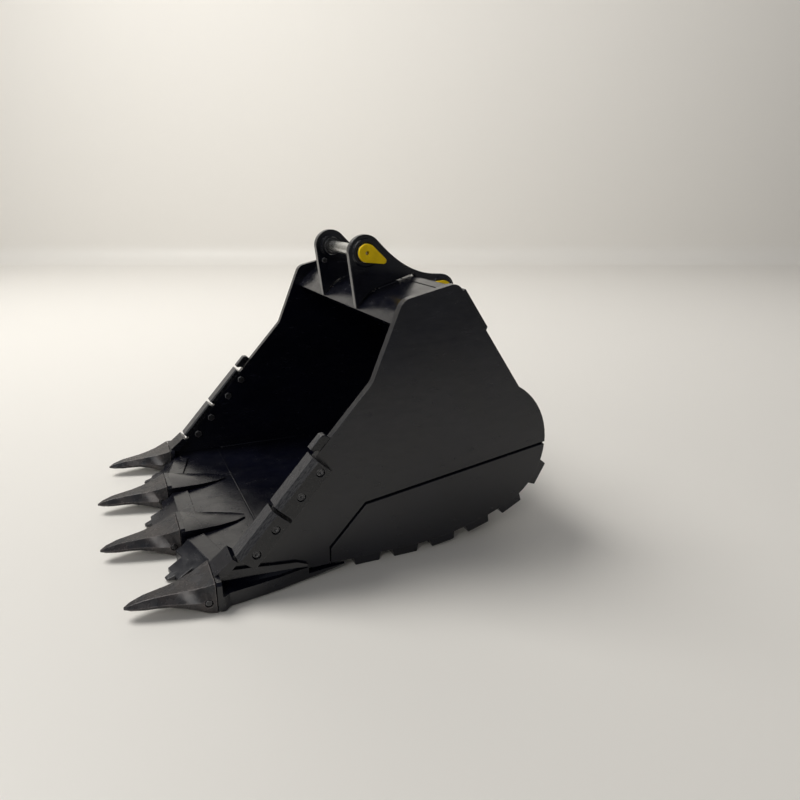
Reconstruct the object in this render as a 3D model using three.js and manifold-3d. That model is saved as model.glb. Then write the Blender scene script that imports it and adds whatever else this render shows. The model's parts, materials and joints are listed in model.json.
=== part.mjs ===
// Rock bucket for a scale-model excavator: side plates, wrapper, lip, bolt-on cutters,
// adapters with pinned tooth tips, lip shrouds, wear bars, hinge ears and two removable pins.
// Millimetres, +Z up. X runs from the teeth (-X) to the heel (+X), Y across the bucket.
// The bucket's own drawing point is the bend in the front edge of the side plates.
import * as THREE from 'three';
import { mergeVertices } from 'three/addons/utils/BufferGeometryUtils.js';
import Module from 'manifold-3d';

const wasm = await Module();
wasm.setup();

// ---- driving dimensions ----------------------------------------------------------------
const HALF_WIDTH = 65;            // bucket centre to outer face of a side plate
const SIDE_THICKNESS = 3.4;
const INNER_HALF = HALF_WIDTH - SIDE_THICKNESS;
const GAP = 0.3;                  // clearance between neighbouring pieces
const HAIR = 0.1;                 // clearance between faces that lie flat on each other

const FLOOR_Z = -65.6;            // underside of the floor
const PLATE = 3.2;                // floor, heel, back and top plates
const BAR = {
  height: 3.9, length: 11, pitch: 15.6, first: -30.3, count: 7, halfWidth: 63.5, shortHalf: 52,
};
const GROUND_Z = FLOOR_Z - HAIR - BAR.height;

const EDGE_ANGLE = THREE.MathUtils.degToRad(48);      // front edge of a side plate, from level
const EDGE_DOWN = new THREE.Vector2(-Math.cos(EDGE_ANGLE), -Math.sin(EDGE_ANGLE));
const EDGE_OUT = new THREE.Vector2(-Math.sin(EDGE_ANGLE), Math.cos(EDGE_ANGLE));

const HEEL = { x: 46.3, z: -31.5, radius: 27 };       // tight arc of the heel
const SWEEP = { x: 12.3, radius: 112 };               // shallow arc between floor and heel
SWEEP.z = FLOOR_Z + SWEEP.radius;
const SWEEP_END = Math.atan2(HEEL.x - SWEEP.x, SWEEP.z - HEEL.z);
const HEEL_END = THREE.MathUtils.degToRad(150);       // heel arc ends here, from straight down
const BACK_FOOT = arcPoint(HEEL, HEEL_END, HEEL.radius);
const BACK_UP = new THREE.Vector2(-0.558, 0.83).normalize();
const BACK_OUT = new THREE.Vector2(BACK_UP.y, -BACK_UP.x);
// The top plate curls down at its front edge: place and slope, in degrees, along the curl.
const TOP_CURL = [[10.5, 18.3, 50], [13, 21.2, 47], [15.5, 23.7, 39], [18.2, 25.5, 25]];
const TOP_FLAT = new THREE.Vector2(...TOP_CURL.at(-1));
const TOP_SLOPE = Math.tan(THREE.MathUtils.degToRad(17));
const BACK_LENGTH = backLengthAt(0, 0);
const BACK_LAP = 0.4;             // the back plate starts this far above the heel's arc
const BACK_WEAR = { length: 19, thickness: 1.2, bevel: 0.8, topInset: 1, sideInset: 0.4 };
const SIDE = { topX: 11.4, topZ: 27.6, rearUp: 49, lipX: -56.5, rearRound: 4, topRound: 5, bendRound: 6 };
const BEYOND = 90;                // reach of a cutting shape that has to pass the whole bucket

const LIP = { x: -56.7, middleX: -62.7, rearX: -36, thickness: 4, z: -66.2, bendY: [31, 55] };

const TOOTH = {
  width: 18, pitch: 43.1, cornerX: -59, middleX: -65, collar: 2, chamfer: 1,
  topZ: -58.8, pinX: -2.5, pinZ: -65.4, pinRadius: 1.1, pinSunk: 0.7,
};
// The wedge-shaped nose that a tip slides over: heights in front and behind, and half-widths.
const NOSE = {
  front: -10, rear: 1, frontLow: -65.4, frontHigh: -63.1, rearLow: -68, rearHigh: -60.7,
  frontHalf: 3.4, rearHalf: 7,
};
// Tooth tip from the collar to the point: distance, top, bottom, then half-widths of the
// flat top, of the widest line and of the underside.
const TIP_STATIONS = [
  [0, -58.8, -69.5, 8.2, 9, 8.6], [-3, -59.9, -69, 7.2, 8.8, 8.2], [-6, -60.8, -67.8, 5.8, 8, 7.4],
  [-10, -61.6, -66.6, 4.3, 7.1, 6.3], [-14, -62.2, -65.9, 3.2, 5.9, 5], [-18, -62.6, -65.9, 2.5, 4.8, 3.9],
  [-22, -63.1, -66.1, 1.9, 3.7, 2.9], [-26, -64.2, -66, 1.1, 2.3, 1.7], [-28.1, -65.3, -65.7, 0.4, 0.8, 0.6],
];
// Corner adapter's lower leg: distance behind the collar, half-width, underside.
const LEG_STATIONS = [
  [1, 9, -69.5], [2.4, 9, -69.5], [4.5, 7.3, -69.2], [15, 5.8, -69.1], [22, 4.6, -69], [29, 2.9, -68.9],
  [38, 1.6, -68.2], [47, 0.6, -66.9],
];
// Its strap outside the side plate: distance, top of the strap, ledge height, reach of the ledge.
const STRAP_STATIONS = [
  [1, -58.8, -62, 9], [2.4, -58.9, -62, 9], [4.5, -59, -62.2, 7.3], [15, -59.9, -62.6, 5.8],
  [22, -60.8, -63, 4.6], [29, -61.5, -63.4, 2.9], [33, -63.2, -64, 2.3],
];
const HORN = { rear: 4.2, down: 75, face: 0.4, proud: 3, outside: 7.1, inside: 3.5 };
// Middle adapter's lower leg, in the same terms as a corner adapter's.
const MIDDLE_LEG_STATIONS = [[1, 9, -69.5], [3, 9, -69.5], [14, 6.5, -69], [40, 1, -67.2]];
// Middle adapter's upper leg: distance, half-width, ridge, edge.
const SPEAR_STATIONS = [
  [1, 9, -58.8, -59.6], [3, 9, -58.8, -59.6], [7, 8.1, -59, -60.1], [15, 6.3, -59.9, -60.9],
  [22, 3.8, -61, -61.4], [26, 1.2, -61.5, -61.6],
];
const SHROUD = {
  rear: -6, shoulder: 5.3, front: 10.6, tip: 13.3, middleHalf: 12, sideHalf: 10.9, jawHalf: 5,
  tipHalf: 0.9, profile: [[-6, -61.4], [0.4, -61.6], [2.4, -63.4], [10.6, -67.4], [13.3, -68.3],
    [13.3, -68.9], [9, -69.3], [0, -69.1], [-6, -67.5]],
};

const CUTTER = {
  proud: 2.5, outboard: 5.4, flange: -5.4, taper: -7.6, floorGap: 0.35, outerChamfer: 1.8,
  innerChamfer: 0.6, tail: 0.5,
};
const CUTTER_SPANS = { hook: [23.8, 31], upper: [32.3, 52.9], lower: [54.4, 73.8] };
const HOOK = { proud: 3.5, lean: 1.2, notchOut: [1.3, 2.3], notchIn: [1.3, 1.1], outboard: 0.6 };
const BOLT = {
  offsets: [34.8, 45.2, 58.9, 69.3], out: -2.5, shank: 0.8, head: 1.3, headHeight: 1.1, sunk: 0.6,
  recess: 1.9, socket: 0.65, socketDepth: 0.6, nut: 1.7, nutHeight: 1.3,
};

// An ear is a thin plate with a thicker boss round each bore.
const EAR = {
  inner: 17.2, outer: 23.2, plateInner: 19.4, plateOuter: 22.4, ringInner: 1.3, ringOuter: 1.7,
  footLift: 0.2, down: 18, saddle: [new THREE.Vector2(28, 35.8), new THREE.Vector2(36, 30.9)],
};
const STICK = { x: 14.5, z: 40.1, boss: 7, pin: 2.5, bush: 3.7, keeper: 3.6, tail: 8.6, tilt: -25 };
const LINK = { x: 48, z: 24.6, boss: 5.9, pin: 2.2, bush: 3.3, keeper: 3.4, tail: 7.8, tilt: 165 };
const FIT = 0.15;                 // a pin in its bush, and a bush in its ear
const PIN = { overhang: 1.4, chamfer: 0.6 };
const KEEPER = { thickness: 1.5, blunt: 1.2, hole: 0.8 };
const LOCK = { x: 10.9, z: 34, head: 1.2, headHeight: 1.2, shank: 0.7, hole: 0.9 };

const SIDE_LINE = [[-17.5, -58.8], [-3.6, -44], [71.5, -32.4]];   // top edge of the lower wear plate
const SIDE_WEAR = { depth: 1.2, groove: 0.9, slant: 0.6 };

const FINISH = {
  paint: { color: 0x2c2e30, roughness: 0.45, metalness: 0.25 },
  wear: { color: 0x1c1d1f, roughness: 0.55, metalness: 0.3 },
  cutter: { color: 0x5b5d63, roughness: 0.35, metalness: 0.7 },
  tooth: { color: 0x403c3c, roughness: 0.45, metalness: 0.5 },
  steel: { color: 0xc9cbcc, roughness: 0.25, metalness: 1 },
  yellow: { color: 0xc9a21e, roughness: 0.4, metalness: 0.1 },
};

// ---- geometry helpers ------------------------------------------------------------------
function arcPoint(circle, angle, radius) {
  return new THREE.Vector2(circle.x + radius * Math.sin(angle), circle.z - radius * Math.cos(angle));
}

function arcPoints(circle, from, to, radius, steps) {
  return Array.from({ length: steps + 1 }, (_, i) =>
    arcPoint(circle, from + (to - from) * i / steps, radius));
}

// How far up the back a line at some depth from it meets the plane of the top plate.
function backLengthAt(out, above) {
  const run = BACK_FOOT.x + out * BACK_OUT.x - TOP_FLAT.x;
  const rise = TOP_FLAT.y + above + TOP_SLOPE * run - BACK_FOOT.y - out * BACK_OUT.y;
  return rise / (BACK_UP.y - TOP_SLOPE * BACK_UP.x);
}

function alongBack(up, out) {
  return BACK_FOOT.clone().addScaledVector(BACK_UP, up).addScaledVector(BACK_OUT, out);
}

function alongEdge(down, out) {
  return EDGE_DOWN.clone().multiplyScalar(down).addScaledVector(EDGE_OUT, out);
}

// The curl of the top plate, raised by a distance square to its surface.
function curlPoints(above) {
  return TOP_CURL.map(([x, z, slope]) => {
    const tilt = THREE.MathUtils.degToRad(slope);
    return new THREE.Vector2(x - above * Math.sin(tilt), z + above * Math.cos(tilt));
  });
}

function points(pairs) {
  return pairs.map(([x, z]) => new THREE.Vector2(x, z));
}

// Replaces the corner between a and b by an arc that is tangent to both sides.
function rounded(before, corner, after, radius, steps = 6) {
  const toA = before.clone().sub(corner).normalize();
  const toB = after.clone().sub(corner).normalize();
  const half = Math.acos(toA.dot(toB)) / 2;
  const reach = radius / Math.tan(half);
  const centre = toA.clone().add(toB).normalize().multiplyScalar(radius / Math.sin(half)).add(corner);
  const start = toA.multiplyScalar(reach).add(corner).sub(centre);
  const end = toB.multiplyScalar(reach).add(corner).sub(centre);
  const sweep = Math.atan2(start.cross(end), start.dot(end));
  return Array.from({ length: steps + 1 }, (_, i) =>
    start.clone().rotateAround(new THREE.Vector2(), sweep * i / steps).add(centre));
}

// A plate whose outline lies in the XZ plane, between two places across the bucket.
function slab(outline, y0, y1) {
  const shape = new THREE.Shape(outline);
  const geometry = new THREE.ExtrudeGeometry(shape, { depth: y1 - y0, bevelEnabled: false });
  return geometry.rotateX(Math.PI / 2).translate(0, y1, 0);
}

// A plate whose outline lies in the XY plane, between two heights.
function layer(outline, z0, z1) {
  const shape = new THREE.Shape(outline);
  return new THREE.ExtrudeGeometry(shape, { depth: z1 - z0, bevelEnabled: false }).translate(0, 0, z0);
}

function rodAlongY(x, z, radius, y0, y1, sides = 20) {
  return new THREE.CylinderGeometry(radius, radius, y1 - y0, sides).translate(x, (y0 + y1) / 2, z);
}

// A closed solid through rings of [y, z] points, each ring at its own x and turning from +Y to +Z.
function loft(stations) {
  const count = stations[0].ring.length;
  const last = (stations.length - 1) * count;
  const vertices = stations.flatMap(({ x, ring }) => ring.flatMap(([y, z]) => [x, y, z]));
  const faces = [];
  for (let start = 0; start < last; start += count) {
    for (let i = 0; i < count; i += 1) {
      const a = start + i;
      const b = start + (i + 1) % count;
      faces.push(a, b, b + count, a, b + count, a + count);
    }
  }
  for (let i = 1; i < count - 1; i += 1) faces.push(0, i + 1, i, last, last + i, last + i + 1);
  const geometry = new THREE.BufferGeometry();
  geometry.setAttribute('position', new THREE.Float32BufferAttribute(vertices, 3));
  geometry.setIndex(faces);
  return geometry;
}

function solid(geometry) {
  const bare = geometry.clone();
  bare.deleteAttribute('normal');
  bare.deleteAttribute('uv');
  const welded = mergeVertices(bare, 1e-4);
  return new wasm.Manifold(new wasm.Mesh({
    numProp: 3,
    vertProperties: new Float32Array(welded.attributes.position.array),
    triVerts: new Uint32Array(welded.index.array),
  }));
}

function geometryOf(manifold) {
  const mesh = manifold.getMesh();
  const geometry = new THREE.BufferGeometry();
  geometry.setAttribute('position', new THREE.BufferAttribute(mesh.vertProperties, 3));
  geometry.setIndex(new THREE.BufferAttribute(mesh.triVerts, 1));
  geometry.computeVertexNormals();
  return geometry;
}

function join(...geometries) {
  return geometryOf(geometries.map(solid).reduce((sum, next) => sum.add(next)));
}

function cut(geometry, ...tools) {
  return geometryOf(tools.map(solid).reduce((left, tool) => left.subtract(tool), solid(geometry)));
}

function common(a, b) {
  return geometryOf(solid(a).intersect(solid(b)));
}

function mirrored(geometry) {
  const flipped = geometry.clone().scale(1, -1, 1);
  const index = flipped.index ?? new THREE.BufferAttribute(
    Uint32Array.from({ length: flipped.attributes.position.count }, (_, i) => i), 1);
  const turned = index.clone();
  for (let i = 0; i < turned.count; i += 3) {
    turned.setX(i + 1, index.getX(i + 2));
    turned.setX(i + 2, index.getX(i + 1));
  }
  flipped.setIndex(turned);
  flipped.computeVertexNormals();
  return flipped;
}

// ---- the bucket, drawn about the bend in the side plates' front edge ---------------------
const bucket = new THREE.Group();

function place(name, geometry, finish) {
  const mesh = new THREE.Mesh(geometry, new THREE.MeshStandardMaterial(FINISH[finish]));
  mesh.name = name;
  bucket.add(mesh);
}

// The right side is -Y, the left side +Y, as seen when looking into the bucket.
function placePair(name, rightGeometry, finish) {
  place(`${name}_right`, rightGeometry, finish);
  place(`${name}_left`, mirrored(rightGeometry), finish);
}

// Floor, sweep and heel as one run of points, offset inwards by a depth.
function bellyPoints(depth, from, to, steps) {
  return arcPoints(SWEEP, from, to, SWEEP.radius - depth, steps);
}

function heelPoints(depth, from, to, steps) {
  return arcPoints(HEEL, from, to, HEEL.radius - depth, steps);
}

function sideOutline() {
  const bend = new THREE.Vector2(0, 0);
  const frontTop = new THREE.Vector2(SIDE.topX, SIDE.topZ);
  const rearTop = alongBack(SIDE.rearUp, 0);
  const lipTop = new THREE.Vector2(SIDE.lipX, SIDE.lipX * Math.tan(EDGE_ANGLE));
  return [
    new THREE.Vector2(lipTop.x, FLOOR_Z),
    ...bellyPoints(0, 0, SWEEP_END, 10),
    ...heelPoints(0, SWEEP_END, HEEL_END, 20).slice(1),
    ...rounded(BACK_FOOT, rearTop, frontTop, SIDE.rearRound),
    ...rounded(rearTop, frontTop, bend, SIDE.topRound),
    ...rounded(frontTop, bend, lipTop, SIDE.bendRound, 3),
    lipTop,
  ];
}

// Everything of a side plate that lies below the dark line on its outer face.
function lowerZone(drop) {
  const [front, bend, rear] = points(SIDE_LINE);
  return [
    new THREE.Vector2(front.x, -BEYOND),
    new THREE.Vector2(BEYOND, -BEYOND),
    new THREE.Vector2(BEYOND, rear.y - drop),
    new THREE.Vector2(rear.x, rear.y - drop),
    new THREE.Vector2(bend.x + SIDE_WEAR.slant * drop, bend.y - drop),
    new THREE.Vector2(front.x + SIDE_WEAR.slant * drop, front.y - drop),
  ];
}

function boltHoles(y0, y1) {
  return BOLT.offsets.map((down) => {
    const at = alongEdge(down, BOLT.out);
    return rodAlongY(at.x, at.y, BOLT.shank + GAP, y0, y1, 12);
  });
}

function sidePlate() {
  const plate = slab(sideOutline(), -HALF_WIDTH, -INNER_HALF);
  const pocket = slab(lowerZone(0), -HALF_WIDTH - 1, -HALF_WIDTH + SIDE_WEAR.depth);
  return cut(plate, pocket, ...boltHoles(-HALF_WIDTH - 1, -INNER_HALF + 1));
}

function sideWearPlate() {
  const plate = slab(sideOutline(), -HALF_WIDTH, -HALF_WIDTH + SIDE_WEAR.depth - HAIR);
  return common(plate, slab(lowerZone(SIDE_WEAR.groove), -HALF_WIDTH - 1, -INNER_HALF));
}

// A wrapper plate lies between the side plates, with a hair of clearance at each.
function wrapper(outline) {
  return slab(outline, -INNER_HALF + HAIR, INNER_HALF - HAIR);
}

function floorPlate() {
  const front = LIP.rearX + GAP;
  const top = FLOOR_Z + PLATE;
  return wrapper(points([[front, FLOOR_Z], [SWEEP.x, FLOOR_Z], [SWEEP.x, top], [front, top]]));
}

function heelPlate() {
  const start = HAIR / SWEEP.radius;
  return wrapper([
    ...bellyPoints(0, start, SWEEP_END, 8),
    ...heelPoints(0, SWEEP_END, HEEL_END - 0.01, 16).slice(1),
    ...heelPoints(PLATE, HEEL_END - 0.01, SWEEP_END, 16),
    ...bellyPoints(PLATE, SWEEP_END, start, 8).slice(1),
  ]);
}

function backPlate() {
  return wrapper([
    alongBack(BACK_LAP, 0), alongBack(BACK_LENGTH, 0),
    alongBack(backLengthAt(-PLATE, 0), -PLATE), alongBack(BACK_LAP, -PLATE),
  ]);
}

function topPlate() {
  const depth = -PLATE - GAP;
  const under = -PLATE / Math.cos(Math.atan(TOP_SLOPE));
  return wrapper([
    ...curlPoints(0).reverse(), ...curlPoints(-PLATE),
    alongBack(backLengthAt(depth, under), depth), alongBack(backLengthAt(depth, 0), depth),
  ]);
}

function backWearPlate() {
  const low = BACK_LENGTH - BACK_WEAR.length;
  const high = BACK_LENGTH - BACK_WEAR.topInset;
  const face = HAIR + BACK_WEAR.thickness;
  const half = HALF_WIDTH - BACK_WEAR.sideInset;
  const outline = [
    alongBack(low, HAIR), alongBack(low + BACK_WEAR.bevel, face), alongBack(high, face),
    alongBack(high, HAIR),
  ];
  return slab(outline, -half, half);
}

function lipOutline(grow) {
  const [y1, y2] = LIP.bendY;
  const half = INNER_HALF - HAIR + grow;
  return points([
    [LIP.x - grow, -half], [LIP.rearX + grow, -half], [LIP.rearX + grow, half], [LIP.x - grow, half],
    [LIP.x - grow, y2], [LIP.middleX - grow, y1], [LIP.middleX - grow, -y1], [LIP.x - grow, -y2],
  ]);
}

function lipSolid(grow) {
  return layer(lipOutline(grow), LIP.z - grow, LIP.z + LIP.thickness + grow);
}

// ---- teeth -----------------------------------------------------------------------------
function toothPlaces() {
  return [-1.5, -0.5, 0.5, 1.5].map((step, i) => ({
    y: step * TOOTH.pitch,
    x: Math.abs(step) > 1 ? TOOTH.cornerX : TOOTH.middleX,
    corner: Math.abs(step) > 1,
    label: `${i + 1}`,
  }));
}

// Plan outline from half-widths listed against distance, mirrored about the tooth's middle.
function planOutline(stations) {
  const right = stations.map(([x, half]) => new THREE.Vector2(x, -half));
  const left = stations.map(([x, half]) => new THREE.Vector2(x, half)).reverse();
  return [...right, ...left];
}

function pinHole() {
  const reach = TOOTH.width;
  return rodAlongY(TOOTH.pinX, TOOTH.pinZ, TOOTH.pinRadius + GAP, -reach, reach, 12);
}

// The adapter's nose, or with a clearance the socket that it fits in.
function nose(c) {
  const front = NOSE.front - c;
  const rear = NOSE.rear - c / 2;
  const side = slab(points([
    [front, NOSE.frontLow - c], [rear, NOSE.rearLow - c], [rear, NOSE.rearHigh + c],
    [front, NOSE.frontHigh + c],
  ]), -TOOTH.width, TOOTH.width);
  const plan = planOutline([[front, NOSE.frontHalf + c], [NOSE.rear + 1, NOSE.rearHalf + c]]);
  return common(side, layer(plan, -BEYOND, 0));
}

function toothTip() {
  const stations = TIP_STATIONS.map(([x, top, bottom, topHalf, midHalf, bottomHalf]) => {
    const middle = bottom + 0.4 * (top - bottom);
    return { x, ring: [
      [bottomHalf, bottom], [midHalf, middle], [topHalf, top],
      [-topHalf, top], [-midHalf, middle], [-bottomHalf, bottom],
    ] };
  }).reverse();
  return cut(loft(stations), nose(GAP), pinHole());
}

function collar() {
  const half = TOOTH.width / 2;
  const inset = half - TOOTH.chamfer;
  const low = GROUND_Z + TOOTH.chamfer;
  const high = TOOTH.topZ - TOOTH.chamfer;
  return loft([GAP, TOOTH.collar].map((x) => ({ x, ring: [
    [inset, GROUND_Z], [half, low], [half, high], [inset, TOOTH.topZ],
    [-inset, TOOTH.topZ], [-half, high], [-half, low], [-inset, GROUND_Z],
  ] })));
}

// Leg of an adapter under the floor.
function lowerLeg(stations) {
  const top = LIP.z - GAP;
  const chamfer = 0.4;
  return loft(stations.map(([x, half, bottom]) => ({ x, ring: [
    [half - chamfer, bottom], [half, bottom + chamfer], [half, top], [-half, top],
    [-half, bottom + chamfer], [chamfer - half, bottom],
  ] })));
}

function middleAdapter() {
  const slotTop = LIP.z + LIP.thickness + GAP;
  const spear = loft(SPEAR_STATIONS.map(([x, half, ridge, edge]) => ({ x, ring: [
    [half, slotTop], [half, edge], [0, ridge], [-half, edge], [-half, slotTop],
  ] })));
  return cut(join(collar(), nose(0), lowerLeg(MIDDLE_LEG_STATIONS), spear), pinHole());
}

// The left corner's adapter: a strap with a stepped ledge runs back outside the side plate,
// and a horn climbs its front edge.
function cornerAdapter() {
  const inner = HALF_WIDTH + GAP - 1.5 * TOOTH.pitch;
  const web = { y: 1.6, shelf: 1.9, foot: LIP.z - 0.5, waist: -64 };
  const strap = loft(STRAP_STATIONS.map(([x, top, ledge, reach]) => ({ x, ring: [
    [reach, web.foot], [reach, web.waist], [0.6 * reach, ledge - 1],
    [Math.min(web.shelf, reach - GAP), ledge], [web.y, top], [inner, top], [inner, web.foot],
  ] })));
  const hornTop = [HORN.face, HORN.proud].map((out) =>
    alongEdge(HORN.down, out).sub(new THREE.Vector2(TOOTH.cornerX, 0)));
  const high = TOOTH.topZ - TOOTH.chamfer;
  const horn = slab([
    new THREE.Vector2(GAP, high), new THREE.Vector2(HORN.rear, high), ...hornTop,
    new THREE.Vector2(GAP, TOOTH.topZ),
  ], inner - HORN.outside, inner + HORN.inside);
  return cut(join(collar(), nose(0), lowerLeg(LEG_STATIONS), strap, horn), pinHole());
}

function placeTeeth() {
  for (const tooth of toothPlaces()) {
    const half = TOOTH.width / 2 - TOOTH.pinSunk;
    const pin = rodAlongY(TOOTH.pinX, TOOTH.pinZ, TOOTH.pinRadius, -half, half, 12);
    const left = tooth.corner ? cornerAdapter() : middleAdapter();
    const adapter = tooth.y < 0 ? mirrored(left) : left;
    place(`adapter_${tooth.label}`, adapter.translate(tooth.x, tooth.y, 0), 'wear');
    place(`tooth_tip_${tooth.label}`, toothTip().translate(tooth.x, tooth.y, 0), 'tooth');
    place(`tooth_pin_${tooth.label}`, pin.translate(tooth.x, tooth.y, 0), 'wear');
  }
}

// A shroud wraps the lip between two adapters and ends in a low pointed nose. It is drawn
// with x forwards from the lip's front edge, then turned to face out of that edge.
function shroud(step) {
  const [y1, y2] = LIP.bendY;
  const slant = step * Math.atan2(LIP.x - LIP.middleX, y2 - y1);
  const y = step * TOOTH.pitch;
  const edgeX = LIP.middleX + Math.abs(step) * (TOOTH.pitch - y1) * Math.tan(Math.abs(slant));
  const half = step ? SHROUD.sideHalf : SHROUD.middleHalf;
  const side = slab(points(SHROUD.profile), -half, half);
  const plan = layer(planOutline([
    [SHROUD.rear - 1, half], [SHROUD.shoulder, half], [SHROUD.shoulder, SHROUD.jawHalf],
    [SHROUD.front, SHROUD.jawHalf], [SHROUD.front, SHROUD.tipHalf * 2], [SHROUD.tip + 1, SHROUD.tipHalf],
  ]), -BEYOND, 0);
  const placed = common(side, plan).rotateZ(Math.PI - slant).translate(edgeX, y, 0);
  return cut(placed, lipSolid(GAP));
}

// ---- bolt-on side cutters ----------------------------------------------------------------
// Local axes: x out of the front edge, y across the bucket, z down along the edge.
function alongEdgeFrame(geometry, down) {
  const start = alongEdge(down, 0);
  const frame = new THREE.Matrix4().makeBasis(
    new THREE.Vector3(EDGE_OUT.x, 0, EDGE_OUT.y), new THREE.Vector3(0, 1, 0),
    new THREE.Vector3(EDGE_DOWN.x, 0, EDGE_DOWN.y));
  return geometry.applyMatrix4(frame.setPosition(start.x, 0, start.y));
}

function cutter([top, bottom]) {
  const face = -HALF_WIDTH - CUTTER.outboard;
  const under = -HALF_WIDTH - HAIR;
  const inside = -INNER_HALF - GAP;
  const section = new THREE.Shape(points([
    [CUTTER.floorGap, inside], [CUTTER.floorGap, under], [CUTTER.taper, under],
    [CUTTER.taper, under - CUTTER.tail], [CUTTER.flange, face],
    [CUTTER.proud - CUTTER.outerChamfer, face], [CUTTER.proud, face + CUTTER.outerChamfer],
    [CUTTER.proud, inside - CUTTER.innerChamfer], [CUTTER.proud - CUTTER.innerChamfer, inside],
  ]).reverse());
  const length = bottom - top;
  const blank = new THREE.ExtrudeGeometry(section, { depth: length, bevelEnabled: false });
  const bar = alongEdgeFrame(blank, top);
  const recesses = BOLT.offsets.filter((d) => d > top && d < bottom).flatMap((down) => {
    const at = alongEdge(down, BOLT.out);
    return [
      rodAlongY(at.x, at.y, BOLT.shank + GAP, face - 1, under + 1, 12),
      rodAlongY(at.x, at.y, BOLT.head + GAP, face - 1, face + BOLT.recess, 16),
    ];
  });
  return cut(bar, ...recesses);
}

// The upper end of each cutter row is a thin hooked block with a scooped heel.
function cutterHook([top, bottom]) {
  const floor = CUTTER.floorGap;
  const outline = [
    alongEdge(top, floor), alongEdge(top, HOOK.proud - HOOK.lean),
    alongEdge(top + HOOK.lean, HOOK.proud), alongEdge(bottom, HOOK.proud),
    alongEdge(bottom, HOOK.notchOut[1]), alongEdge(bottom - HOOK.notchIn[1], HOOK.notchOut[0]),
    alongEdge(bottom - HOOK.notchIn[0], floor),
  ];
  return slab(outline, -HALF_WIDTH - HOOK.outboard, -INNER_HALF - GAP);
}

function cutterBolt(down) {
  const at = alongEdge(down, BOLT.out);
  const top = -HALF_WIDTH - CUTTER.outboard + BOLT.sunk;
  const under = top + BOLT.headHeight;
  const inside = -INNER_HALF + HAIR;
  const head = rodAlongY(at.x, at.y, BOLT.head, top, under, 16);
  const socket = rodAlongY(at.x, at.y, BOLT.socket, top - 1, top + BOLT.socketDepth, 6);
  const shank = rodAlongY(at.x, at.y, BOLT.shank, under - 0.1, inside + 1, 12);
  const nut = rodAlongY(at.x, at.y, BOLT.nut, inside, inside + BOLT.nutHeight, 6);
  return cut(join(head, shank, nut), socket);
}

// ---- wear bars under the floor and round the heel ----------------------------------------
function wearBar(index) {
  const run = BAR.first + BAR.pitch * index;
  const half = run < -20 ? BAR.shortHalf : BAR.halfWidth;
  const bar = slab(points([
    [-BAR.length / 2, -HAIR], [-BAR.length / 2 + 0.7, -BAR.height - HAIR],
    [BAR.length / 2 - 0.7, -BAR.height - HAIR], [BAR.length / 2, -HAIR],
  ]), -half, half);
  const onSweep = SWEEP_END * SWEEP.radius;
  if (run <= 0) return bar.translate(SWEEP.x + run, 0, FLOOR_Z);
  const circle = run < onSweep ? SWEEP : HEEL;
  const angle = run < onSweep ? run / SWEEP.radius : SWEEP_END + (run - onSweep) / HEEL.radius;
  const at = arcPoint(circle, angle, circle.radius);
  return bar.rotateY(-angle).translate(at.x, 0, at.y);
}

// ---- ears, bushes, pins and keepers --------------------------------------------------------
function bossPoints(boss, from, to, steps) {
  const span = THREE.MathUtils.degToRad(to - from);
  return Array.from({ length: steps + 1 }, (_, i) => {
    const angle = THREE.MathUtils.degToRad(from) + span * i / steps;
    return new THREE.Vector2(boss.x + boss.boss * Math.cos(angle), boss.z + boss.boss * Math.sin(angle));
  });
}

function earOutline() {
  const saddle = new THREE.CubicBezierCurve(
    new THREE.Vector2(STICK.x + STICK.boss * Math.SQRT1_2, STICK.z + STICK.boss * Math.SQRT1_2),
    ...EAR.saddle, new THREE.Vector2(LINK.x - 1, LINK.z + LINK.boss));
  const base = HAIR + EAR.footLift;
  const behind = base + BACK_WEAR.thickness;
  return [
    ...curlPoints(base), alongBack(BACK_LENGTH + EAR.footLift, behind),
    alongBack(BACK_LENGTH - EAR.down, behind),
    alongBack(BACK_LENGTH - EAR.down, behind + BACK_WEAR.thickness),
    ...bossPoints(LINK, -45, 85, 10),
    ...saddle.getPoints(10).reverse().slice(1, -1),
    ...bossPoints(STICK, 45, 180, 12),
  ];
}

function ear() {
  const plate = slab(earOutline(), -EAR.plateOuter, -EAR.plateInner);
  const rings = [STICK, LINK].flatMap(({ x, z, bush: radius }) => [
    rodAlongY(x, z, radius + EAR.ringOuter, -EAR.outer, -EAR.plateInner, 32),
    rodAlongY(x, z, radius + EAR.ringInner, -EAR.plateOuter, -EAR.inner, 32),
  ]);
  const bores = [STICK, LINK].map((end) =>
    rodAlongY(end.x, end.z, end.bush + FIT, -EAR.outer - 1, -EAR.inner + 1, 24));
  return cut(join(plate, ...rings), ...bores);
}

function bush(end) {
  const ring = rodAlongY(end.x, end.z, end.bush, -EAR.outer, -EAR.inner, 24);
  return cut(ring, rodAlongY(end.x, end.z, end.pin + FIT, -EAR.outer - 1, -EAR.inner + 1, 24));
}

function pin(end) {
  const far = EAR.outer + PIN.overhang;
  const neck = far - PIN.chamfer;
  const shaft = rodAlongY(end.x, end.z, end.pin, -EAR.outer, neck, 24);
  const tip = new THREE.CylinderGeometry(end.pin - PIN.chamfer, end.pin, PIN.chamfer, 24);
  return join(shaft, tip.translate(end.x, far - PIN.chamfer / 2, end.z));
}

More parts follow.
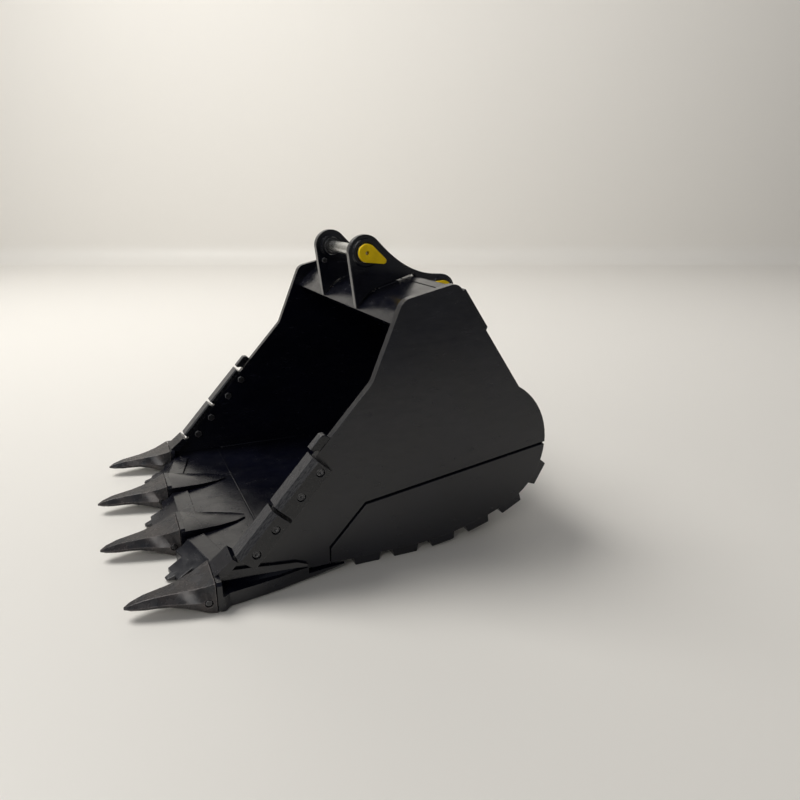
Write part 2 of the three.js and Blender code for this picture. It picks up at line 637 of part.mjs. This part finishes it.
// A flat teardrop on the pin's outer end: a disc with a blunt tail and a hole in its middle.
function keeper(end) {
  const tilt = THREE.MathUtils.degToRad(end.tilt);
  const reach = end.tail - KEEPER.blunt;
  const open = Math.acos((end.keeper - KEEPER.blunt) / reach);
  const disc = Array.from({ length: 21 }, (_, i) => {
    const angle = tilt + open + (2 * Math.PI - 2 * open) * i / 20;
    return new THREE.Vector2(end.x + end.keeper * Math.cos(angle), end.z + end.keeper * Math.sin(angle));
  });
  const tip = new THREE.Vector2(end.x + reach * Math.cos(tilt), end.z + reach * Math.sin(tilt));
  const tail = Array.from({ length: 7 }, (_, i) => {
    const angle = tilt - open + 2 * open * i / 6;
    return new THREE.Vector2(
      tip.x + KEEPER.blunt * Math.cos(angle), tip.y + KEEPER.blunt * Math.sin(angle));
  });
  const back = -EAR.outer - HAIR;
  const face = back - KEEPER.thickness;
  const hole = rodAlongY(end.x, end.z, KEEPER.hole, face - 1, back + 1, 10);
  return cut(slab([...disc, ...tail], face, back), hole);
}

// A small cap screw through the left ear, beside the stick pin.
function lockScrew() {
  const { x, z } = LOCK;
  const under = EAR.plateInner - HAIR;
  const head = rodAlongY(x, z, LOCK.head, under - LOCK.headHeight, under, 6);
  const shank = rodAlongY(x, z, LOCK.shank, under - 1, EAR.plateOuter, 10);
  const hole = rodAlongY(x, z, LOCK.hole, under, EAR.plateOuter + 1, 10);
  return { screw: join(head, shank), hole };
}

// ---- assembly --------------------------------------------------------------------------------
placePair('side_plate', sidePlate(), 'paint');
placePair('side_wear_plate', sideWearPlate(), 'paint');
place('floor_plate', floorPlate(), 'paint');
place('heel_plate', heelPlate(), 'paint');
place('back_plate', backPlate(), 'paint');
place('top_plate', topPlate(), 'paint');
place('back_wear_plate', backWearPlate(), 'paint');
place('lip_plate', lipSolid(0), 'wear');
placeTeeth();
[-1, 0, 1].forEach((step, i) => place(`lip_shroud_${i + 1}`, shroud(step), 'wear'));
placePair('cutter_hook', cutterHook(CUTTER_SPANS.hook), 'cutter');
placePair('upper_cutter', cutter(CUTTER_SPANS.upper), 'cutter');
placePair('lower_cutter', cutter(CUTTER_SPANS.lower), 'cutter');
BOLT.offsets.forEach((down, i) => placePair(`cutter_bolt_${i + 1}`, cutterBolt(down), 'steel'));
for (let i = 0; i < BAR.count; i += 1) place(`wear_bar_${i + 1}`, wearBar(i), 'wear');

const lock = lockScrew();
place('ear_right', ear(), 'paint');
place('ear_left', cut(mirrored(ear()), lock.hole), 'paint');
place('pin_lock_screw', lock.screw, 'steel');
placePair('stick_bush', bush(STICK), 'steel');
placePair('link_bush', bush(LINK), 'steel');
place('stick_pin', pin(STICK), 'steel');
place('stick_pin_keeper', keeper(STICK), 'yellow');
place('link_pin', pin(LINK), 'steel');
place('link_pin_keeper', keeper(LINK), 'yellow');

// The part's origin is on the ground, in the middle of its length and width.
const overall = new THREE.Box3().setFromObject(bucket);
bucket.position.set(-(overall.min.x + overall.max.x) / 2, 0, -overall.min.z);

const excavatorBucket = new THREE.Group();
excavatorBucket.add(bucket);

export default excavatorBucket;
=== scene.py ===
# Looks of the scale rock bucket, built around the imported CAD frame. Metres, row frame:
# +X runs from the teeth to the heel, +Y across the bucket, +Z up.
import json
import math
import random

import bmesh
import bpy
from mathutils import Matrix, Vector


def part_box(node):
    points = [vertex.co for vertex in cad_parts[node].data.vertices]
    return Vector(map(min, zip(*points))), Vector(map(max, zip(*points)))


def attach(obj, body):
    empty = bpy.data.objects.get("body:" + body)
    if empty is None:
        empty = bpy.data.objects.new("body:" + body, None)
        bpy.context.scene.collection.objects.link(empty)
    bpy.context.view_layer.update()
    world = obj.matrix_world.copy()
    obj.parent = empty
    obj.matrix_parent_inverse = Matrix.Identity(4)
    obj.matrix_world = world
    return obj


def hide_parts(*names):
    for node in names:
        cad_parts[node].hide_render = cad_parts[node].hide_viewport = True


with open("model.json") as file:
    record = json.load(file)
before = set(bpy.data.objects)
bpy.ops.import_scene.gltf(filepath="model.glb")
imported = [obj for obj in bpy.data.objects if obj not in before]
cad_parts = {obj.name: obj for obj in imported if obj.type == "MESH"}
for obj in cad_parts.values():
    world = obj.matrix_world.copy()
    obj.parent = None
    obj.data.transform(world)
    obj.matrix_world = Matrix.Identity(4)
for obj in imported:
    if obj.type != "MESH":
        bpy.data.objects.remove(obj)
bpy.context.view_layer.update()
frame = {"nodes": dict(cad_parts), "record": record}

MM = 0.001
# The bend in the side plates' front edge, from which the welds and the camera are placed.
SIDE_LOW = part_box("side_plate_right")[0]
BEND_BACK, BEND_UP = 56.5 * MM, 65.6 * MM
BEND = Vector((SIDE_LOW.x + BEND_BACK, 0, SIDE_LOW.z + BEND_UP))
EDGE_ANGLE = math.radians(48)
TOP_SLOPE = math.tan(math.radians(17))

CAMERA_PLACE = (-83.35, -274.0, 62.29)
CAMERA_DOWN, CAMERA_TURN = math.radians(16.91), math.radians(24.09)
LENS, SENSOR = 30.6, 36

# How the CAD pieces are refined.
SAME_PLACE = 0.002 * MM
SAME_FACE = math.radians(0.6)
ROUNDED_FROM = math.radians(28)
SHARP_FROM = math.radians(35)
BEVEL_SEGMENTS = 3

# The shape of a weld bead.
BEAD_SIDES = 8
RIPPLE_LENGTH = 0.5 * MM
RIPPLE_TURN = 2.1
RIPPLE_DEPTH, UNEVENNESS = 0.12, 0.05
END_SIZE = 0.3
FEWEST_STEPS = 4

# Where the beads run, in millimetres from the bend.
SEAM_Y = 61.4
EAR_INNER_Y, EAR_OUTER_Y = 19.3, 22.5
TOP_SEAM_X, TOP_SEAM_Z, TOP_SEAM_SHORT = 19.5, 26.0, 4
FLOOR_SEAM_X, FLOOR_SEAM_Z = (-34, 11), -62.2
LIP_SEAM_X, LIP_SEAM_Y, LIP_SEAM_Z = -35.8, 60, -62.3

# The table and the wall behind it, in metres.
TABLE_FRONT, TABLE_SIDE = -0.24, 2.0
WALL_PLACE, WALL_BEND, WALL_HEIGHT = 1.06, 0.04, 0.95
WALL_BEND_STEPS = 8


def at(x, y, z):
    """A point given in millimetres from the bend."""
    return BEND + Vector((x, y, z)) * MM


# ---- node helpers ----------------------------------------------------------------------


class Nodes:
    """Short calls for building one material's node tree."""

    def __init__(self, name):
        self.material = bpy.data.materials.new(name)
        self.material.use_nodes = True
        self.tree = self.material.node_tree
        self.shader = self.tree.nodes["Principled BSDF"]
        self.place = self.add("ShaderNodeTexCoord").outputs["Object"]

    def add(self, kind, inputs=None, **settings):
        node = self.tree.nodes.new(kind)
        for key, value in settings.items():
            setattr(node, key, value)
        for key, value in (inputs or {}).items():
            self.put(node.inputs[key], value)
        return node

    def put(self, socket, value):
        if isinstance(value, bpy.types.NodeSocket):
            self.tree.links.new(value, socket)
        else:
            socket.default_value = value

    def stretched(self, scale):
        node = self.add("ShaderNodeMapping", {"Vector": self.place, "Scale": scale})
        return node.outputs["Vector"]

    def noise(self, scale, detail=4.0, rough=0.55, vector=None):
        node = self.add("ShaderNodeTexNoise", {
            "Vector": vector or self.place, "Scale": scale, "Detail": detail, "Roughness": rough,
        })
        return node.outputs["Fac"]

    def ramp(self, value, low, high, from_min=0.35, from_max=0.65):
        node = self.add("ShaderNodeMapRange", {
            "Value": value, "From Min": from_min, "From Max": from_max, "To Min": low, "To Max": high,
        })
        return node.outputs["Result"]

    def math(self, operation, a, b):
        return self.add("ShaderNodeMath", {0: a, 1: b}, operation=operation).outputs[0]

    def mix(self, factor, a, b):
        node = self.add("ShaderNodeMix", data_type="RGBA")
        self.put(node.inputs["Factor"], factor)
        self.put(node.inputs["A"], a)
        self.put(node.inputs["B"], b)
        return node.outputs["Result"]

    def edges(self, radius, low=0.93, high=0.995):
        """1 on convex and concave edges, 0 on flat faces."""
        soft = self.add("ShaderNodeBevel", {"Radius": radius}, samples=4).outputs["Normal"]
        plain = self.add("ShaderNodeNewGeometry").outputs["Normal"]
        dot = self.add("ShaderNodeVectorMath", {0: soft, 1: plain}, operation="DOT_PRODUCT")
        return self.ramp(dot.outputs["Value"], 1.0, 0.0, low, high)

    def bump(self, height, strength, distance, normal=None):
        inputs = {"Height": height, "Strength": strength, "Distance": distance}
        if normal:
            inputs["Normal"] = normal
        return self.add("ShaderNodeBump", inputs).outputs["Normal"]

    def set(self, **inputs):
        for key, value in inputs.items():
            self.put(self.shader.inputs[key.replace("_", " ")], value)


def grey(value, tint=(1, 1, 1)):
    return (value * tint[0], value * tint[1], value * tint[2], 1)


def black_paint(name, base, rough, wear, tint=(0.65, 0.75, 2.0)):
    """Semi-gloss black paint: orange peel, faint dust, rubbed edges."""
    n = Nodes(name)
    blotch = n.noise(60, 3)
    dust = n.ramp(n.noise(2600, 2, 0.7), 0.0, 1.0, 0.66, 0.78)
    colour = n.mix(n.ramp(blotch, 0.0, 1.0), grey(base * 0.8, tint), grey(base * 1.25, tint))
    colour = n.mix(n.math("MULTIPLY", dust, 0.05), colour, grey(0.35, (1, 0.98, 0.94)))
    scuffs = n.noise(900, 5, 0.7)
    edge = n.math("MULTIPLY", n.edges(0.35 * MM), n.ramp(scuffs, 0.0, wear, 0.4, 0.6))
    n.set(Base_Color=n.mix(edge, colour, grey(0.09, (1, 0.99, 0.97))))
    smear = n.noise(140, 4, 0.6, n.stretched((1, 1, 3)))
    n.set(Roughness=n.ramp(smear, rough - 0.05, rough + 0.09, 0.3, 0.7))
    n.set(Metallic=n.math("MULTIPLY", edge, 0.7), IOR=1.55)
    peel = n.bump(n.noise(1500, 2, 0.5), 0.12, 0.04 * MM)
    n.set(Normal=n.bump(n.noise(160, 2, 0.5), 0.06, 0.4 * MM, peel))
    return n.material


def brushed(name, base, rough, along, tint=(1, 1, 1), metal=1.0):
    """Brushed or turned steel: the lines run square to the axis where along is largest."""
    n = Nodes(name)
    lines = n.noise(700, 4, 0.7, n.stretched(along))
    blotch = n.noise(90, 3)
    dark, light = grey(base * 0.75, tint), grey(min(base * 1.2, 0.9), tint)
    mixed = n.math("ADD", n.math("MULTIPLY", lines, 0.6), n.math("MULTIPLY", blotch, 0.4))
    colour = n.mix(n.ramp(mixed, 0.0, 1.0), dark, light)
    edge = n.math("MULTIPLY", n.edges(0.25 * MM), 0.5)
    n.set(Base_Color=n.mix(edge, colour, grey(0.6, tint)))
    n.set(Metallic=metal)
    n.set(Roughness=n.ramp(lines, rough - 0.06, rough + 0.12))
    n.set(Normal=n.bump(lines, 0.12, 0.05 * MM))
    return n.material


def worn_and_highlit_steel(name):
    """Blackened steel, lighter and bare on the faces that look out of the bucket's front edge: partly
    rubbed wear, partly a painted highlight for the light those faces catch.
    """
    n = Nodes(name)
    facing = n.add("ShaderNodeVectorMath", {
        0: n.add("ShaderNodeTexCoord").outputs["Normal"],
        1: (-math.sin(EDGE_ANGLE), 0, math.cos(EDGE_ANGLE)),
    }, operation="DOT_PRODUCT").outputs["Value"]
    lines = n.noise(500, 4, 0.7, n.stretched((1, 6, 1)))
    # Painted highlight mixed with wear: faces turned up and forward out of the front edge get a
    # lighter bare-steel colour.
    bare_wear_and_highlight = n.math("MULTIPLY", n.ramp(facing, 0.0, 1.0, 0.6, 0.95), n.ramp(lines, 0.55, 1.0))
    edge = n.math("MULTIPLY", n.edges(0.3 * MM), n.ramp(n.noise(800, 4), 0.2, 0.9))
    # Rubbed edges (real wear) together with the painted highlight on the front-facing faces.
    wear_and_highlight = n.math("MAXIMUM", bare_wear_and_highlight, edge)
    n.set(Base_Color=n.mix(wear_and_highlight, grey(0.006, (0.9, 0.95, 1.3)), grey(0.11, (1, 1, 1.07))))
    n.set(Metallic=n.math("MULTIPLY", wear_and_highlight, 0.8))
    n.set(Roughness=n.ramp(lines, 0.2, 0.36))
    n.set(Normal=n.bump(lines, 0.12, 0.05 * MM))
    return n.material


def casting(name, base, rough, tint):
    """Dark cast tooth: fine grain, warm patches, polished edges."""
    n = Nodes(name)
    patch = n.ramp(n.noise(170, 4, 0.6), 0.0, 1.0)
    colour = n.mix(patch, grey(base * 0.75, (0.9, 0.95, 1.1)), grey(base * 1.3, tint))
    grain = n.noise(2200, 3, 0.7)
    edge = n.math("MULTIPLY", n.edges(0.6 * MM, 0.9), n.ramp(n.noise(700, 4), 0.1, 0.6))
    n.set(Base_Color=n.mix(edge, colour, grey(0.22, tint)))
    n.set(Metallic=0.35)
    n.set(Roughness=n.ramp(n.noise(300, 4, 0.6), rough - 0.06, rough + 0.1, 0.3, 0.7))
    rough_skin = n.bump(grain, 0.18, 0.05 * MM)
    n.set(Normal=n.bump(n.noise(260, 3), 0.15, 0.4 * MM, rough_skin))
    return n.material


def satin_yellow(name):
    """Satin yellow paint with a faint mottle and slightly rubbed edges."""
    n = Nodes(name)
    mottle = n.ramp(n.noise(250, 4), 0.0, 1.0)
    n.set(Base_Color=n.mix(mottle, (0.82, 0.55, 0.002, 1), (0.95, 0.66, 0.004, 1)))
    n.set(Roughness=n.ramp(n.noise(500, 4), 0.42, 0.56), Specular_IOR_Level=0.25)
    edge = n.edges(0.25 * MM)
    n.set(Metallic=n.math("MULTIPLY", edge, 0.2))
    n.set(Normal=n.bump(n.noise(1800, 2), 0.15, 0.04 * MM))
    return n.material


MATERIALS = {
    "plate_paint": black_paint("plate paint", 0.003, 0.2, 0.3),
    "wear_paint": black_paint("wear part paint", 0.003, 0.22, 0.4),
    "tooth_metal": casting("tooth casting", 0.035, 0.24, (1.15, 1.0, 0.98)),
    "cutter_steel": worn_and_highlit_steel("cutter steel"),
    "bolt_steel": brushed("bolt steel", 0.05, 0.3, (1, 1, 1), (1, 1, 1.05), 0.7),
    "pin_steel": brushed("pin steel", 0.5, 0.22, (1, 12, 1), (1, 1, 0.97)),
    "keeper_yellow": satin_yellow("keeper yellow"),
}

SLOT_OF = {s["node"]: s["material_slot"] for s in frame["record"]["subparts"]}
BODY_OF = {n: body for body, nodes in frame["record"]["behaviour"]["bodies"].items() for n in nodes}


# ---- mesh helpers ----------------------------------------------------------------------


def baked(piece):
    """Bakes the piece's modifiers into its mesh."""
    graph = bpy.context.evaluated_depsgraph_get()
    made = bpy.data.meshes.new_from_object(piece.evaluated_get(graph))
    piece.modifiers.clear()
    piece.data = made
    return made


def smooth(mesh):
    for polygon in mesh.polygons:
        polygon.use_smooth = True


def built(name, vertices, faces):
    """A smooth-shaded mesh from points and faces."""
    mesh = bpy.data.meshes.new(name)
    mesh.from_pydata(vertices, [], faces)
    smooth(mesh)
    return mesh


def finish_mesh(piece, bevel):
    """Rounds the edges that are sharper than ROUNDED_FROM, and keeps the flat faces flat."""
    modifier = piece.modifiers.new("edge", "BEVEL")
    modifier.width = bevel
    modifier.segments = BEVEL_SEGMENTS
    modifier.limit_method = "ANGLE"
    modifier.angle_limit = ROUNDED_FROM
    modifier.use_clamp_overlap = True
    made = baked(piece)
    smooth(made)
    made.set_sharp_from_angle(angle=SHARP_FROM)
    flat = piece.modifiers.new("flat", "WEIGHTED_NORMAL")
    flat.weight = 100
    flat.keep_sharp = True
    baked(piece)


def link(name, mesh, node):
    """A shown piece with the material, body and slot of a CAD node."""
    piece = bpy.data.objects.new(name, mesh)
    bpy.context.scene.collection.objects.link(piece)
    slot = SLOT_OF[node]
    mesh.materials.append(MATERIALS[slot])
    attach(piece, BODY_OF[node])
    return piece


def clean_copy(node):
    """The CAD node's mesh with its split corners merged and its flat faces made whole."""
    work = bmesh.new()
    work.from_mesh(frame["nodes"][node].data)
    bmesh.ops.remove_doubles(work, verts=work.verts, dist=SAME_PLACE)
    bmesh.ops.dissolve_limit(work, angle_limit=SAME_FACE, verts=work.verts, edges=work.edges)
    mesh = bpy.data.meshes.new(node + "_fine")
    work.to_mesh(mesh)
    work.free()
    return mesh


def refined(node, bevel):
    """A finer piece that stands for a CAD node: same shape, rounded edges."""
    piece = link(node + "_fine", clean_copy(node), node)
    finish_mesh(piece, bevel * MM)
    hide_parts(node)


# ---- pieces ----------------------------------------------------------------------------

# Edge widths in millimetres, by the start of the name. A longer name stands before a shorter one.
BEVELS = {
    "side_plate": 0.45, "side_wear_plate": 0.3, "floor_plate": 0.2, "heel_plate": 0.2,
    "back_plate": 0.2, "top_plate": 0.3, "back_wear_plate": 0.25, "lip_plate": 0.5,
    "adapter": 0.5, "tooth_tip": 0.6, "tooth_pin": 0.15, "lip_shroud": 0.45,
    "cutter_hook": 0.35, "upper_cutter": 0.35, "lower_cutter": 0.35, "cutter_bolt": 0.15,
    "wear_bar": 0.4, "ear": 0.4, "pin_lock_screw": 0.12, "stick_bush": 0.15, "link_bush": 0.15,
    "stick_pin_keeper": 0.25, "link_pin_keeper": 0.25, "stick_pin": 0.15, "link_pin": 0.15,
}


def bevel_of(node):
    return next(width for prefix, width in BEVELS.items() if node.startswith(prefix))


for name in sorted(frame["nodes"]):
    refined(name, bevel_of(name))


def bead(name, node, start, end, radius, across):
    """A rippled weld bead between two places, riding with the CAD node's body."""
    steps = max(FEWEST_STEPS, round((end - start).length / RIPPLE_LENGTH))
    along = (end - start).normalized()
    lift = along.cross(across).normalized()
    vertices, faces = [], []
    for i in range(steps + 1):
        ripple = 1 + RIPPLE_DEPTH * math.sin(i * RIPPLE_TURN) + UNEVENNESS * RANDOM.random()
        if i in (0, steps):
            ripple = END_SIZE
        centre = start.lerp(end, i / steps)
        for k in range(BEAD_SIDES):
            turn = 2 * math.pi * k / BEAD_SIDES
            vertices.append(centre + (across * math.cos(turn) + lift * math.sin(turn))
                            * radius * MM * ripple)
    for i in range(steps):
        for k in range(BEAD_SIDES):
            a, b = i * BEAD_SIDES + k, i * BEAD_SIDES + (k + 1) % BEAD_SIDES
            faces.append((a, b, b + BEAD_SIDES, a + BEAD_SIDES))
    faces.append(tuple(reversed(range(BEAD_SIDES))))
    faces.append(tuple(range(steps * BEAD_SIDES, (steps + 1) * BEAD_SIDES)))
    link(name, built(name, vertices, faces), node)


ACROSS = Vector((0, 1, 0))
UPWARD = Vector((0, 0, 1))
RANDOM = random.Random(4)


def top_seam(name, y):
    """A bead along the flat part of the top plate, stopping short of the back."""
    start = at(TOP_SEAM_X, y, TOP_SEAM_Z)
    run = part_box("top_plate")[1].x - start.x - TOP_SEAM_SHORT * MM
    bead(name, "top_plate", start, start + Vector((run, 0, run * TOP_SLOPE)), 0.45, ACROSS)


for side, way in (("right", -1), ("left", 1)):
    seam_front, seam_back = (at(x, way * SEAM_Y, FLOOR_SEAM_Z) for x in FLOOR_SEAM_X)
    bead(f"weld_floor_{side}", "floor_plate", seam_front, seam_back, 0.55, ACROSS)
    top_seam(f"weld_top_{side}", way * SEAM_Y)
    top_seam(f"weld_ear_in_{side}", way * EAR_INNER_Y)
    top_seam(f"weld_ear_out_{side}", way * EAR_OUTER_Y)
lip_right, lip_left = (at(LIP_SEAM_X, way * LIP_SEAM_Y, LIP_SEAM_Z) for way in (-1, 1))
bead("weld_lip", "floor_plate", lip_right, lip_left, 0.4, UPWARD)


# ---- floor, light and camera -----------------------------------------------------------


def make_floor():
    """A pale table top that ends at a pale wall behind the object, both square to the view."""
    profile = [(TABLE_FRONT, 0)]
    for i in range(WALL_BEND_STEPS + 1):
        turn = math.radians(90) * i / WALL_BEND_STEPS
        profile.append((WALL_PLACE - WALL_BEND + WALL_BEND * math.sin(turn),
                        WALL_BEND - WALL_BEND * math.cos(turn)))
    profile.append((WALL_PLACE, WALL_HEIGHT))
    vertices = [(way * TABLE_SIDE, y, z) for y, z in profile for way in (-1, 1)]
    faces = [(2 * i, 2 * i + 1, 2 * i + 3, 2 * i + 2) for i in range(len(profile) - 1)]
    mesh = built("floor", vertices, faces)
    floor = bpy.data.objects.new("floor", mesh)
    floor.rotation_euler.z = -CAMERA_TURN
    bpy.context.scene.collection.objects.link(floor)
    n = Nodes("floor")
    n.set(Base_Color=(0.8, 0.775, 0.73, 1), Roughness=0.5)
    mesh.materials.append(n.material)


def make_world():
    """A dim room that is darker and slightly bluer overhead than at table height."""
    world = bpy.data.worlds.new("studio")
    bpy.context.scene.world = world
    world.use_nodes = True
    tree = world.node_tree
    place = tree.nodes.new("ShaderNodeTexCoord")
    split = tree.nodes.new("ShaderNodeSeparateXYZ")
    ramp = tree.nodes.new("ShaderNodeValToRGB")
    tree.links.new(place.outputs["Generated"], split.inputs[0])
    tree.links.new(split.outputs["Z"], ramp.inputs["Fac"])
    ramp.color_ramp.elements[0].position = 0.2
    ramp.color_ramp.elements[0].color = (0.2, 0.2, 0.2, 1)
    ramp.color_ramp.elements[1].position = 0.7
    ramp.color_ramp.elements[1].color = (0.08, 0.085, 0.1, 1)
    tree.links.new(ramp.outputs["Color"], tree.nodes["Background"].inputs["Color"])
    tree.nodes["Background"].inputs["Strength"].default_value = 1.0


def soft_light(name, place, target, size, power, colour):
    """A rectangular light at place, facing target. Metres and watts."""
    data = bpy.data.lights.new(name, "AREA")
    data.shape = "RECTANGLE"
    data.size, data.size_y = size
    data.energy = power
    data.color = colour
    light = bpy.data.objects.new(name, data)
    light.location = place
    light.rotation_euler = (Vector(target) - Vector(place)).to_track_quat("-Z", "Y").to_euler()
    light.visible_camera = False
    bpy.context.scene.collection.objects.link(light)


def make_camera():
    data = bpy.data.cameras.new("camera")
    data.sensor_width = SENSOR
    data.lens = LENS
    data.clip_start = 0.01
    camera = bpy.data.objects.new("camera", data)
    camera.location = at(*CAMERA_PLACE)
    camera.rotation_euler = (math.pi / 2 - CAMERA_DOWN, 0, -CAMERA_TURN)
    bpy.context.scene.collection.objects.link(camera)
    bpy.context.scene.camera = camera


make_floor()
make_world()
soft_light("top", (-0.5, 0.45, 1.05), (0, 0, 0), (0.7, 0.7), 12.5, (1, 0.985, 0.95))
soft_light("wash", (0.1, 0.3, 0.8), (0.5, 1.0, 0.3), (1.6, 0.5), 3.4, (1, 0.985, 0.96))
soft_light("left", (-1.1, -0.05, 0.5), (-0.05, 0.05, 0.0), (0.6, 0.6), 0.9, (1, 0.99, 0.96))
soft_light("front", (-0.6, -0.9, 0.7), (-0.1, -0.3, 0.0), (0.5, 0.5), 2.6, (1, 0.99, 0.95))
make_camera()
bpy.context.scene.view_settings.view_transform = "Standard"
